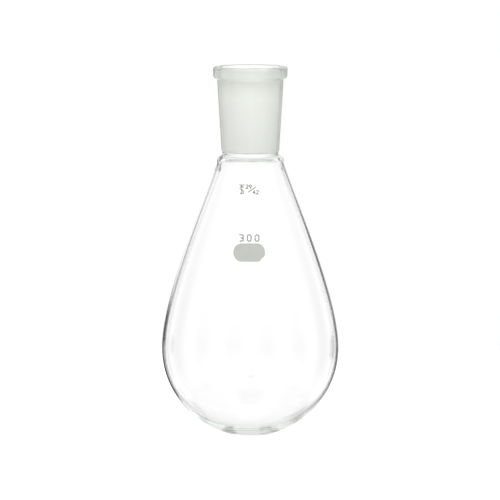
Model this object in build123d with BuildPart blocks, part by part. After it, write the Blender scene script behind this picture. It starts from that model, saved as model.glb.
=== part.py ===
"""Pear-shaped evaporating flask with one conical ground socket, and its fired enamel marks.

Millimetres, +Z up. The flask hangs from its neck joint with the bottom free, so the origin is the
lowest point of the round bottom, on the axis. The marks face -Y.
"""
import os

from build123d import *

# Ground socket: a standard conical joint, whose bore narrows by 1 mm in 10 mm of length
joint_mouth_diameter = 29.2
joint_length = 42.0
joint_taper = 1 / 10
mouth_round = 0.5
socket_wall_top = 1.85
socket_wall_bottom = 1.65

# Bead around the rim, which stiffens the mouth and gives a joint clip its grip
bead_height = 4.3
bead_step = 1.97
bead_bottom_slope = 2.5
bead_top_round = 1.0

# Weld of the socket to the blown body: a waist outside, and a flared lip inside
waist_depth = 0.5
waist_height = 1.4
weld_height = 3.8
weld_flare = 2.15
throat_land = 1.3
lip_height = 3.4

# Collar, the short straight neck of the blown body
collar_length = 0.6
collar_wall = 1.2

# Blown body: a half ball below, a long flank above it, and a shoulder up to the collar
body_radius = 43.5
flank_height = 87.3
flank_belly = 26.0
flank_top_slope = 0.30
flank_top_run = 12.0
shoulder_height = 4.1
shoulder_flare = 1.3
collar_lead = 1.2
belly_wall = 1.25
flank_top_wall = 1.6
bottom_wall = 2.4
bottom_spread = 1.6

# Enamel marks, printed on the front of the flank and fired; drops are below the flank's top
enamel_thickness = 0.12
enamel_clearance = 0.04
mark_x = -0.6

spot_width = 15.4
spot_height = 8.7
spot_end_flat = 0.5
spot_nick = 2.2
spot_drop = 37.7

digit_aspect = 0.62

volume_digits = "300"
volume_height = 3.0
volume_pitch = 3.8
volume_stroke = 0.6
volume_drop = 30.85

joint_digits = ("29", "42")
joint_height = 1.75
joint_pitch = 1.6
joint_stroke = 0.42
joint_drop = 8.0
fraction_x = 0.85
fraction_step_x = 1.7
fraction_step_z = 1.3
slash_length = 5.0
slash_angle = 33.0
taper_sign_x = -4.2
taper_sign_height = 4.2
taper_sign_width = 2.5

# Levels, stacked from the bottom
widest_z = body_radius
flank_top_z = widest_z + flank_height
collar_z = flank_top_z + shoulder_height
collar_top_z = collar_z + collar_length
ground_end_z = collar_top_z + weld_height
rim_z = ground_end_z + joint_length
bead_z = rim_z - bead_height
bead_foot_z = bead_z - bead_bottom_slope
throat_z = ground_end_z - throat_land
lip_z = throat_z - lip_height

# Radii, worked out from the joint and the walls
mouth_radius = joint_mouth_diameter / 2
throat_radius = mouth_radius - joint_length * joint_taper / 2
neck_bottom_radius = throat_radius + socket_wall_bottom
neck_top_radius = mouth_radius - bead_height * joint_taper / 2 + socket_wall_top
waist_radius = neck_bottom_radius - waist_depth
bead_radius = neck_top_radius + bead_step
collar_radius = neck_bottom_radius + weld_flare
inner_collar_radius = collar_radius - collar_wall
flank_top_radius = collar_radius + shoulder_flare
inner_top_radius = flank_top_radius - flank_top_wall
inner_radius = body_radius - belly_wall

# Length of a curve's handle that makes it a quarter of a circle, for each unit of radius
circle_handle = 0.5523


def flank_points(belly_shift, top_shift):
    """Control points of the flank, from the widest level up, with its ends moved outwards."""
    belly = body_radius + belly_shift
    top = flank_top_radius + top_shift
    lean = Vector(flank_top_slope, -1).normalized() * flank_top_run
    return [
        (belly, widest_z),
        (belly, widest_z + flank_belly),
        (top + lean.X, flank_top_z + lean.Y),
        (top, flank_top_z),
    ]


def line_stroke(start, end, stroke):
    """Face of a straight stroke with round ends, in the open sketch."""
    start, end = Vector(*start), Vector(*end)
    SlotCenterPoint((start + end) / 2, end, stroke)


def arc_stroke(centre, radius, start_angle, sweep, stroke):
    """Face of a curved stroke with square ends, in the open sketch."""
    with BuildLine() as outline:
        outer = CenterArc(centre, radius + stroke / 2, start_angle, sweep)
        inner = CenterArc(centre, radius - stroke / 2, start_angle, sweep)
        Line(outer @ 0, inner @ 0)
        Line(outer @ 1, inner @ 1)
    make_face(outline.edges())


def zero(x, z, half_width, half_height, stroke):
    """A 0: two upright strokes closed by half rings."""
    straight = half_height - half_width
    for side in (-1, 1):
        side_x = x + side * half_width
        line_stroke((side_x, z - straight), (side_x, z + straight), stroke)
        arc_stroke((x, z + side * straight), half_width, 90 - side * 90, 180, stroke)


def two(x, z, half_width, half_height, stroke):
    """A 2: a hook, a slanted stroke and a foot."""
    hook_z = z + half_height - half_width
    arc_stroke((x, hook_z), half_width, 0, 165, stroke)
    foot = (x - half_width, z - half_height)
    line_stroke((x + half_width, hook_z), foot, stroke)
    line_stroke(foot, (x + half_width, z - half_height), stroke)


def three(x, z, half_width, half_height, stroke):
    """A 3: two open bowls that meet at the middle, with short straight ends."""
    bowl = half_height / 2
    bowl_x = x + half_width - bowl
    for side in (-1, 1):
        arc_stroke((bowl_x, z + side * bowl), bowl, -90, 180, stroke)
        end_z = z + side * half_height
        line_stroke((x - 0.8 * half_width, end_z), (bowl_x, end_z), stroke)
    line_stroke((x - 0.2 * half_width, z), (bowl_x, z), stroke)


def four(x, z, half_width, half_height, stroke):
    """A 4: a stem, a slanted stroke and a bar."""
    stem_x = x + 0.35 * half_width
    bar_z = z - 0.3 * half_height
    line_stroke((stem_x, z - half_height), (stem_x, z + half_height), stroke)
    line_stroke((stem_x, z + half_height), (x - half_width, bar_z), stroke)
    line_stroke((x - half_width, bar_z), (x + half_width, bar_z), stroke)


def nine(x, z, half_width, half_height, stroke):
    """A 9: a ring and a slanted tail."""
    ring_z = z + half_height - half_width
    for start_angle in (0, 180):
        arc_stroke((x, ring_z), half_width, start_angle, 180, stroke)
    line_stroke((x + half_width, ring_z), (x + 0.2 * half_width, z - half_height), stroke)


def taper_sign(x, z, half_width, half_height, stroke):
    """The general sign for a standard taper: a T laid over an S."""
    top_z = z + half_height
    line_stroke((x - half_width, top_z), (x + half_width, top_z), stroke)
    line_stroke((x, top_z), (x, z - half_height), stroke)
    curl = 0.42 * half_height
    curl_z = z - half_height + 2 * curl
    arc_stroke((x, curl_z + curl), curl, 15, 255, stroke)
    arc_stroke((x, curl_z - curl), curl, -165, 255, stroke)


digit_shapes = {"0": zero, "2": two, "3": three, "4": four, "9": nine}


def print_digits(digits, x, z, height, pitch, stroke):
    """A row of digits centred on (x, z), in the open sketch."""
    for place, digit in enumerate(digits):
        digit_x = x + (place - (len(digits) - 1) / 2) * pitch
        digit_shapes[digit](digit_x, z, height * digit_aspect / 2, height / 2, stroke)


# The glass: one wall, turned about the axis
with BuildPart() as flask:
    with BuildSketch(Plane.XZ):
        with BuildLine():
            # Outside of the blown body, from the lowest point up to the weld
            RadiusArc((0, 0), (body_radius, widest_z), -body_radius)
            Bezier(*flank_points(0, 0))
            Bezier(
                (flank_top_radius, flank_top_z),
                (flank_top_radius - shoulder_flare / 4, flank_top_z + shoulder_height / 4),
                (collar_radius, collar_z - shoulder_height / 2),
                (collar_radius, collar_z),
            )
            Line((collar_radius, collar_z), (collar_radius, collar_top_z))
            Bezier(
                (collar_radius, collar_top_z),
                (collar_radius, collar_top_z + 0.6 * weld_height),
                (waist_radius, ground_end_z - 0.4 * weld_height),
                (waist_radius, ground_end_z),
            )
            # Outside of the socket and its bead
            Bezier(
                (waist_radius, ground_end_z),
                (waist_radius, ground_end_z + 0.4 * waist_height),
                (neck_bottom_radius, ground_end_z + 0.4 * waist_height),
                (neck_bottom_radius, ground_end_z + waist_height),
            )
            Line((neck_bottom_radius, ground_end_z + waist_height), (neck_top_radius, bead_foot_z))
            Bezier(
                (neck_top_radius, bead_foot_z),
                (neck_top_radius, bead_z - 0.6 * bead_bottom_slope),
                (bead_radius, bead_z - 0.65 * bead_bottom_slope),
                (bead_radius, bead_z),
            )
            Line((bead_radius, bead_z), (bead_radius, rim_z - bead_top_round))
            RadiusArc(
                (bead_radius, rim_z - bead_top_round),
                (bead_radius - bead_top_round, rim_z),
                -bead_top_round,
            )
            Line((bead_radius - bead_top_round, rim_z), (mouth_radius + mouth_round, rim_z))
            # Ground bore, throat and flared lip
            RadiusArc(
                (mouth_radius + mouth_round, rim_z),
                (mouth_radius, rim_z - mouth_round),
                -mouth_round,
            )
            Line((mouth_radius, rim_z - mouth_round), (throat_radius, ground_end_z))
            Line((throat_radius, ground_end_z), (throat_radius, throat_z))
            Bezier(
                (throat_radius, throat_z),
                (throat_radius, throat_z - 0.35 * lip_height),
                (inner_collar_radius, throat_z - 0.4 * lip_height),
                (inner_collar_radius, lip_z),
            )
            # Inside of the blown body, down to the lowest point
            Bezier(
                (inner_collar_radius, lip_z),
                (inner_collar_radius, lip_z - collar_lead),
                (inner_top_radius - flank_top_slope * collar_lead, flank_top_z + collar_lead),
                (inner_top_radius, flank_top_z),
            )
            Bezier(*flank_points(-belly_wall, -flank_top_wall))
            Bezier(
                (inner_radius, widest_z),
                (inner_radius, widest_z - circle_handle * inner_radius),
                (circle_handle * inner_radius + bottom_spread, bottom_wall),
                (0, bottom_wall),
            )
            Line((0, bottom_wall), (0, 0))
        make_face()
    revolve(axis=Axis.Z)

# Section of the enamel skin on the flank, which every mark is cut from
enamel_proud = enamel_clearance + enamel_thickness
with BuildSketch() as enamel_skin:
    glass_side = flank_points(enamel_clearance, enamel_clearance)
    open_side = flank_points(enamel_proud, enamel_proud)
    with BuildLine():
        Bezier(*glass_side)
        Line(glass_side[-1], open_side[-1])
        Bezier(*open_side)
        Line(glass_side[0], open_side[0])
    make_face()

# Writing spot: a rounded oblong with a nick at its lower right
spot_z = flank_top_z - spot_drop
with BuildPart() as marking_spot:
    with BuildSketch(Plane.XZ):
        with Locations((mark_x, spot_z)):
            RectangleRounded(spot_width, spot_height, (spot_height - spot_end_flat) / 2)
        with Locations((mark_x + spot_width / 2, spot_z - spot_height / 2)):
            Circle(spot_nick, mode=Mode.SUBTRACT)
    extrude(amount=body_radius + enamel_proud)
    with BuildSketch(Plane.XZ):
        add(enamel_skin.sketch_local)
    revolve(axis=Axis.Z, mode=Mode.INTERSECT)

# Nominal volume in millilitres, above the writing spot
with BuildPart() as volume_number:
    with BuildSketch(Plane.XZ):
        volume_z = flank_top_z - volume_drop
        print_digits(volume_digits, mark_x, volume_z, volume_height, volume_pitch, volume_stroke)
    extrude(amount=body_radius + enamel_proud)
    with BuildSketch(Plane.XZ):
        add(enamel_skin.sketch_local)
    revolve(axis=Axis.Z, mode=Mode.INTERSECT)

# Joint size, mouth diameter over length, beside the sign for a standard taper
joint_mark_z = flank_top_z - joint_drop
with BuildPart() as joint_size_number:
    with BuildSketch(Plane.XZ):
        for digits, side in zip(joint_digits, (-1, 1)):
            digits_x = fraction_x + side * fraction_step_x
            digits_z = joint_mark_z - side * fraction_step_z
            print_digits(digits, digits_x, digits_z, joint_height, joint_pitch, joint_stroke)
        with Locations((fraction_x, joint_mark_z)):
            SlotOverall(slash_length, joint_stroke, rotation=slash_angle)
        sign_half = (taper_sign_width / 2, taper_sign_height / 2)
        taper_sign(taper_sign_x, joint_mark_z, *sign_half, joint_stroke)
    extrude(amount=body_radius + enamel_proud)
    with BuildSketch(Plane.XZ):
        add(enamel_skin.sketch_local)
    revolve(axis=Axis.Z, mode=Mode.INTERSECT)

flask.part.label = "flask"
marking_spot.part.label = "marking_spot"
volume_number.part.label = "volume_number"
joint_size_number.part.label = "joint_size_number"

os.makedirs("parts", exist_ok=True)
export_step(flask.part, "parts/flask.step")
export_step(marking_spot.part, "parts/marking_spot.step")
export_step(volume_number.part, "parts/volume_number.step")
export_step(joint_size_number.part, "parts/joint_size_number.step")
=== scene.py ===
"""Pear-shaped evaporating flask of clear glass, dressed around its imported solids."""

from math import cos, radians, sin

import bpy
import numpy as np
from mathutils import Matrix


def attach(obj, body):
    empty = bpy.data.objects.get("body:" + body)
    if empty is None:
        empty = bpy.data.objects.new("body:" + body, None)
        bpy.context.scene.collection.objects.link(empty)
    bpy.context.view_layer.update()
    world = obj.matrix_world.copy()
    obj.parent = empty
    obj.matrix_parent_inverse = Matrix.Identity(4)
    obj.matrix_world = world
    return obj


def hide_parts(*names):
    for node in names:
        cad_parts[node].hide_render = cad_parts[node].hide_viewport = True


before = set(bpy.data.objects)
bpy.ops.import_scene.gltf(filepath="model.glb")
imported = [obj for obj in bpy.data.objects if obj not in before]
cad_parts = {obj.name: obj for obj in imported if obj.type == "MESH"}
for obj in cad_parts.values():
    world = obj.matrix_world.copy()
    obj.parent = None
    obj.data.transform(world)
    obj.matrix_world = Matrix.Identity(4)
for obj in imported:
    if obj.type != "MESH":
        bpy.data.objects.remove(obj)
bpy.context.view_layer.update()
scene = bpy.context.scene

# The glass. A ground socket is welded to a pear blown from borosilicate tube, so the whole flask
# is one clear wall about one axis. Lathe, flame and gravity shape it: the wall is thin at the
# belly and thick at the bottom, and only the bore of the socket is ground to a white matt.
# All measures are millimetres.
JOINT_MOUTH = 29.2
JOINT_LENGTH = 42.0
JOINT_TAPER = 0.1
MOUTH_ROUND = 0.5
BODY_RADIUS = 43.5
FLANK_TOP = 17.6
FLANK_TOP_Z = 130.8
FLANK_BELLY = 26.0
FLANK_SLOPE = 0.30
FLANK_RUN = 12.0
COLLAR = 16.3
COLLAR_WALL = 1.2
COLLAR_Z = 134.9
COLLAR_TOP_Z = 135.5
COLLAR_LEAD = 1.2
WAIST = 13.65
WAIST_Z = 139.3
NECK_LOW = 14.15
NECK_LOW_Z = 140.7
NECK_HIGH = 16.235
BEAD = 18.205
BEAD_Z = 177.0
BEAD_FOOT_Z = 174.5
BEAD_ROUND = 1.0
RIM_Z = 181.3
THROAT_Z = 138.0
LIP_Z = 134.6
BELLY_WALL = 1.25
FLANK_TOP_WALL = 1.6
BOTTOM_WALL = 2.4
BOTTOM_SPREAD = 1.6
QUARTER_HANDLE = 0.5523

mouth = JOINT_MOUTH / 2
throat = mouth - JOINT_LENGTH * JOINT_TAPER / 2
inner_belly = BODY_RADIUS - BELLY_WALL
inner_collar = COLLAR - COLLAR_WALL
inner_flank_top = FLANK_TOP - FLANK_TOP_WALL


def curve(points, count):
    """Points of a Bezier curve: each is the mean of the four control points, weighted by
    Bernstein's cubics at evenly spaced parameters."""
    a, b, c, d = np.array(points, float)
    t = np.linspace(0, 1, count)[:, None]
    return (1 - t) ** 3 * a + 3 * (1 - t) ** 2 * t * b + 3 * (1 - t) * t**2 * c + t**3 * d


def line(start, end, count):
    """Evenly spaced points from start to end."""
    t = np.linspace(0, 1, count)[:, None]
    return (1 - t) * np.array(start, float) + t * np.array(end, float)


def arc(centre, radius, start, end, count):
    """Points on a circle: the centre plus the radius times the cosine and sine of the angle,
    which runs evenly from start to end in degrees."""
    angle = np.radians(np.linspace(start, end, count))[:, None]
    return np.array(centre, float) + radius * np.hstack([np.cos(angle), np.sin(angle)])


def flank(inwards_below, inwards_above, count):
    """The flank's curve, from the widest level up to the shoulder, with its ends moved in."""
    lean = np.array([FLANK_SLOPE, -1.0]) / np.hypot(FLANK_SLOPE, 1.0) * FLANK_RUN
    belly, top = BODY_RADIUS - inwards_below, FLANK_TOP - inwards_above
    handles = [(belly, BODY_RADIUS + FLANK_BELLY), (top + lean[0], FLANK_TOP_Z + lean[1])]
    return curve([(belly, BODY_RADIUS), *handles, (top, FLANK_TOP_Z)], count)


outside = [
    arc((0, BODY_RADIUS), BODY_RADIUS, -90, 0, 64),
    flank(0, 0, 56),
    curve(
        [
            (FLANK_TOP, FLANK_TOP_Z),
            (FLANK_TOP - 0.325, FLANK_TOP_Z + 1.025),
            (COLLAR, COLLAR_Z - 2.05),
            (COLLAR, COLLAR_Z),
        ],
        14,
    ),
    curve(
        [
            (COLLAR, COLLAR_TOP_Z),
            (COLLAR, COLLAR_TOP_Z + 2.28),
            (WAIST, WAIST_Z - 1.52),
            (WAIST, WAIST_Z),
        ],
        16,
    ),
    curve(
        [
            (WAIST, WAIST_Z),
            (WAIST, WAIST_Z + 0.56),
            (NECK_LOW, WAIST_Z + 0.56),
            (NECK_LOW, NECK_LOW_Z),
        ],
        8,
    ),
    line((NECK_LOW, NECK_LOW_Z), (NECK_HIGH, BEAD_FOOT_Z), 12),
    curve(
        [
            (NECK_HIGH, BEAD_FOOT_Z),
            (NECK_HIGH, BEAD_Z - 1.5),
            (BEAD, BEAD_Z - 1.625),
            (BEAD, BEAD_Z),
        ],
        12,
    ),
    arc((BEAD - BEAD_ROUND, RIM_Z - BEAD_ROUND), BEAD_ROUND, 0, 90, 10),
]
inside = [
    arc((mouth + MOUTH_ROUND, RIM_Z - MOUTH_ROUND), MOUTH_ROUND, 90, 180, 8),
    line((mouth, RIM_Z - MOUTH_ROUND), (throat, WAIST_Z), 30),
    line((throat, WAIST_Z), (throat, THROAT_Z), 3),
    curve(
        [
            (throat, THROAT_Z),
            (throat, THROAT_Z - 1.19),
            (inner_collar, THROAT_Z - 1.36),
            (inner_collar, LIP_Z),
        ],
        16,
    ),
    curve(
        [
            (inner_collar, LIP_Z),
            (inner_collar, LIP_Z - COLLAR_LEAD),
            (inner_flank_top - FLANK_SLOPE * COLLAR_LEAD, FLANK_TOP_Z + COLLAR_LEAD),
            (inner_flank_top, FLANK_TOP_Z),
        ],
        10,
    ),
    flank(BELLY_WALL, FLANK_TOP_WALL, 56)[::-1],
    curve(
        [
            (inner_belly, BODY_RADIUS),
            (inner_belly, BODY_RADIUS - QUARTER_HANDLE * inner_belly),
            (QUARTER_HANDLE * inner_belly + BOTTOM_SPREAD, BOTTOM_WALL),
            (0, BOTTOM_WALL),
        ],
        64,
    ),
]


def turned(name, profile, turns):
    """A closed wall: every point (radius, height) of the profile is carried round the axis, to
    radius times the cosine and sine of the turn. Both ends of the profile lie on the axis, where
    each closes in one vertex."""
    profile = profile[np.r_[True, np.abs(np.diff(profile, axis=0)).sum(axis=1) > 1e-6]] / 1000
    ring = profile[1:-1, :, None]
    turn = np.linspace(0, 2 * np.pi, turns, endpoint=False)
    height = np.repeat(ring[:, 1], turns, axis=1)
    grid = np.stack([ring[:, 0] * np.cos(turn), ring[:, 0] * np.sin(turn), height], axis=-1)
    poles = np.array([[0, 0, profile[0, 1]], [0, 0, profile[-1, 1]]])
    index = np.arange(len(ring) * turns).reshape(len(ring), turns)
    after = np.roll(index, -1, axis=1)
    quads = np.stack([index[:-1], after[:-1], after[1:], index[1:]], axis=-1).reshape(-1, 4)
    low = np.stack([np.full(turns, index.size), after[0], index[0]], axis=-1)
    high = np.stack([np.full(turns, index.size + 1), index[-1], after[-1]], axis=-1)
    mesh = bpy.data.meshes.new(name)
    points = np.vstack([grid.reshape(-1, 3), poles])
    mesh.from_pydata(points.tolist(), [], quads.tolist() + low.tolist() + high.tolist())
    mesh.shade_smooth()
    piece = bpy.data.objects.new(name, mesh)
    scene.collection.objects.link(piece)
    return piece, points


glass, points = turned("flask_glass", np.vstack(outside + inside), 256)

# The matt of the bore fades out over its last half millimetre, where the grinding cone ran out.
radius, height = np.hypot(points[:, 0], points[:, 1]) * 1000, points[:, 2] * 1000
bore = np.interp(height, (WAIST_Z, RIM_Z - MOUTH_ROUND), (throat, mouth))
matt = (np.abs(radius - bore) < 0.02) * np.clip((height - WAIST_Z) / 0.5, 0, 1)
matt *= np.clip((RIM_Z - MOUTH_ROUND - height) / 0.3, 0, 1)
glass.data.attributes.new("matt", "FLOAT", "POINT").data.foreach_set("value", matt)


def new_finish(name):
    """A material with nodes, and its tree and main shader."""
    finish = bpy.data.materials.new(name)
    finish.use_nodes = True
    return finish, finish.node_tree, finish.node_tree.nodes["Principled BSDF"]


def add_node(tree, kind, values=None, **settings):
    """Adds a node: settings are its properties; values go to its sockets, and a value that is
    another node's socket is linked."""
    made = tree.nodes.new(kind)
    for setting, value in settings.items():
        setattr(made, setting, value)
    for socket, value in (values or {}).items():
        if isinstance(value, bpy.types.NodeSocket):
            tree.links.new(value, made.inputs[socket])
        else:
            made.inputs[socket].default_value = value
    return made


def calculate(tree, operation, *values):
    """Adds a math node on the values, and returns its result socket."""
    return add_node(tree, "ShaderNodeMath", dict(enumerate(values)), operation=operation).outputs[0]


borosilicate, tree, shader = new_finish("borosilicate_glass")
shader.inputs["IOR"].default_value = 1.473
matt_mask = add_node(tree, "ShaderNodeAttribute", attribute_name="matt").outputs["Fac"]
place = add_node(tree, "ShaderNodeTexCoord").outputs["Object"]
grit = add_node(tree, "ShaderNodeTexNoise", {"Vector": place, "Scale": 2500.0, "Detail": 2.0})
coarse = calculate(tree, "MULTIPLY_ADD", grit.outputs["Fac"], 0.2, 0.5)
tree.links.new(calculate(tree, "MULTIPLY", coarse, matt_mask), shader.inputs["Roughness"])

# The matt carries painted shade: its colour is darker where it is seen at a slant, and darker
# towards the mouth.
# Heights in metres over which the painted shade towards the mouth grows, and its full depth.
MOUTH_SHADE_FROM = 0.166
MOUTH_SHADE_TO = 0.177
MOUTH_SHADE = 0.48
slant = add_node(tree, "ShaderNodeLayerWeight", {"Blend": 0.5}).outputs["Facing"]
level = add_node(tree, "ShaderNodeSeparateXYZ", {0: place}).outputs["Z"]
limits = {"Value": level, "From Min": MOUTH_SHADE_FROM, "From Max": MOUTH_SHADE_TO, "To Max": MOUTH_SHADE}
mouth_painted_shade = add_node(tree, "ShaderNodeMapRange", limits).outputs["Result"]
# The matt's colour with the painted shade mixed in, darkest at a slant and at the mouth.
matt_painted_shade = add_node(
    tree,
    "ShaderNodeMixRGB",
    {
        0: calculate(tree, "MULTIPLY_ADD", slant, 0.5, mouth_painted_shade),
        1: (0.98, 1, 0.96, 1),
        2: (0.6, 0.63, 0.58, 1),
    },
)
frosting = {0: matt_mask, 1: (1, 1, 1, 1), 2: matt_painted_shade.outputs[0]}
frost = add_node(tree, "ShaderNodeMixRGB", frosting)
tree.links.new(frost.outputs[0], shader.inputs["Base Color"])
clear = calculate(tree, "MULTIPLY_ADD", matt_mask, -0.8, 1.0)
tree.links.new(clear, shader.inputs["Transmission Weight"])
green = {"Color": (0.72, 0.88, 0.7, 1.0), "Density": 4.0}
tint = add_node(tree, "ShaderNodeVolumeAbsorption", green)
tree.links.new(tint.outputs[0], tree.nodes["Material Output"].inputs["Volume"])
glass.data.materials.append(borosilicate)
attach(glass, "root")
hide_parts("flask")

# The marks. Ceramic enamel in a pale warm grey, screen-printed on the flank and fired until it
# bonds to the glass: the writing spot, the volume and the joint size. The thinner the stroke, the
# darker its tone.
MARK_TONES = {"marking_spot": 1.0, "volume_number": 0.56, "joint_size_number": 0.42}
for name, tone in MARK_TONES.items():
    enamel, tree, shader = new_finish("grey_enamel_" + name)
    shader.inputs["Roughness"].default_value = 0.6
    place = add_node(tree, "ShaderNodeTexCoord").outputs["Object"]
    cloud = add_node(tree, "ShaderNodeTexNoise", {"Vector": place, "Scale": 300.0, "Detail": 3.0})
    colour = add_node(tree, "ShaderNodeValToRGB", {"Fac": cloud.outputs["Fac"]})
    colour.color_ramp.elements[0].color = (0.25 * tone, 0.257 * tone, 0.238 * tone, 1)
    colour.color_ramp.elements[1].color = (0.29 * tone, 0.298 * tone, 0.279 * tone, 1)
    tree.links.new(colour.outputs["Color"], shader.inputs["Base Color"])
    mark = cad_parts[name]
    mark.data.materials.clear()
    mark.data.materials.append(enamel)

# The studio. A white tent with black flags in it. Each stands just off a line of sight, where
# only the edge of the glass bends light from, so the flask shows as dark lines on white. One wide
# lamp, high up on the camera's side, lights the matt bore and the marks.
scene.view_settings.view_transform = "Standard"
scene.cycles.max_bounces = 128
scene.cycles.glossy_bounces = 128
scene.cycles.transmission_bounces = 128
tent = bpy.data.worlds.new("tent")
scene.world = tent
tent.use_nodes = True
tree = tent.node_tree
tree.nodes.clear()
direction = add_node(tree, "ShaderNodeTexCoord").outputs["Generated"]
split = add_node(tree, "ShaderNodeSeparateXYZ", {0: direction}).outputs
azimuth = calculate(tree, "ARCTAN2", split["X"], split["Y"])
elevation = calculate(tree, "ARCSINE", split["Z"])


def ramp(value, low, high):
    """A smooth step from 0 to 1, as an angle in radians goes from low to high degrees."""
    limits = {"Value": value, "From Min": radians(low), "From Max": radians(high)}
    return add_node(
        tree, "ShaderNodeMapRange", limits, interpolation_type="SMOOTHSTEP"
    ).outputs["Result"]


# Each flag: azimuth from and to, elevation from and to, darkness, soft edge. Angles in degrees.
FLAGS = [
    (16, 33, 0, 6, 0.85, 1),
    (16, 33, -42, 0, 0.85, 1),
    (21, 31, 10, 27, 0.85, 2),
    (38, 53, -9, -1, 0.8, 1.5),
    (-33, -22, 1, 7, 0.6, 1),
    (-33, -22, -5, 1, 0.9, 1),
    (-26, -12, 10, 26, 0.85, 2),
    (-33, -22, -42, -5, 0.6, 1),
    (-22, -11, -19, -1, 0.95, 1),
    (-15, 15, 4, 10, 0.4, 2),
    (-17, 17, -36, -25, 0.6, 3),
    (57, 78, -42, 16, 0.4, 7),
    (-78, -57, -42, 16, 0.4, 7),
    (102, 123, -42, 8, 0.32, 7),
    (-123, -102, -42, 8, 0.32, 7),
    (147, 168, -42, 8, 0.32, 7),
    (-168, -147, -42, 8, 0.32, 7),
    (-200, 200, -75, -37, 0.5, 4),
]
TENT_LEVEL = 1.01
LAMP_STRENGTH = 2.7
front = calculate(tree, "ARCSINE", calculate(tree, "MULTIPLY", split["Y"], -1.0))
lamp = calculate(tree, "MULTIPLY", ramp(elevation, 15, 27), ramp(elevation, 65, 50))
lamp = calculate(tree, "MULTIPLY", lamp, ramp(front, 0, 30))
light = calculate(tree, "MULTIPLY_ADD", lamp, LAMP_STRENGTH, TENT_LEVEL)
for left, right, bottom, top, darkness, soft in FLAGS:
    middle, half = (left + right) / 2, (right - left) / 2
    turn = calculate(tree, "SUBTRACT", azimuth, radians(middle))
    turn = calculate(tree, "WRAP", turn, radians(180), radians(-180))
    within = ramp(calculate(tree, "ABSOLUTE", turn), half + soft, half - soft)
    above = ramp(elevation, bottom - soft, bottom + soft)
    below = ramp(elevation, top + soft, top - soft)
    cover = calculate(tree, "MULTIPLY", calculate(tree, "MULTIPLY", above, below), within)
    passed = calculate(tree, "MULTIPLY_ADD", cover, -darkness, 1.0)
    light = calculate(tree, "MULTIPLY", light, passed)
backdrop = add_node(tree, "ShaderNodeBackground", {"Color": (1, 1, 1, 1), "Strength": light})
output = add_node(tree, "ShaderNodeOutputWorld", {"Surface": backdrop.outputs[0]})

# The floor. A plain white acrylic sheet, lit from below so that no shadow is left on it.
FLOOR_RADIUS = 0.4
FLOOR_SIDES = 96
turn = np.linspace(0, 2 * np.pi, FLOOR_SIDES, endpoint=False)
edge = FLOOR_RADIUS * np.stack([np.cos(turn), np.sin(turn), np.zeros(FLOOR_SIDES)], axis=-1)
sheet = bpy.data.meshes.new("floor")
sheet.from_pydata(edge.tolist(), [], [list(range(FLOOR_SIDES))])
floor = bpy.data.objects.new("floor", sheet)
scene.collection.objects.link(floor)
acrylic, tree, shader = new_finish("white_acrylic")
shader.inputs["Base Color"].default_value = (0.8, 0.8, 0.8, 1)
shader.inputs["Roughness"].default_value = 1.0
shader.inputs["Specular IOR Level"].default_value = 0.0
shader.inputs["Emission Color"].default_value = (1, 1, 1, 1)
shader.inputs["Emission Strength"].default_value = 0.65
sheet.materials.append(acrylic)
floor.visible_transmission = False
floor.visible_glossy = False

# The camera. A long lens three metres away, a little above the flask.
CAMERA_DISTANCE = 3.0
CAMERA_RISE = radians(5.3)
FRAME_HEIGHT = 0.2445
AIM = (-0.0002, 0.0, 0.0914)
lens = bpy.data.cameras.new("camera")
lens.sensor_width = 36.0
lens.lens = lens.sensor_width * CAMERA_DISTANCE / FRAME_HEIGHT
lens.clip_end = 20
camera = bpy.data.objects.new("camera", lens)
scene.collection.objects.link(camera)
camera.location = (
    AIM[0],
    AIM[1] - CAMERA_DISTANCE * cos(CAMERA_RISE),
    AIM[2] + CAMERA_DISTANCE * sin(CAMERA_RISE),
)
camera.rotation_euler = (radians(90) - CAMERA_RISE, 0, 0)
scene.camera = camera
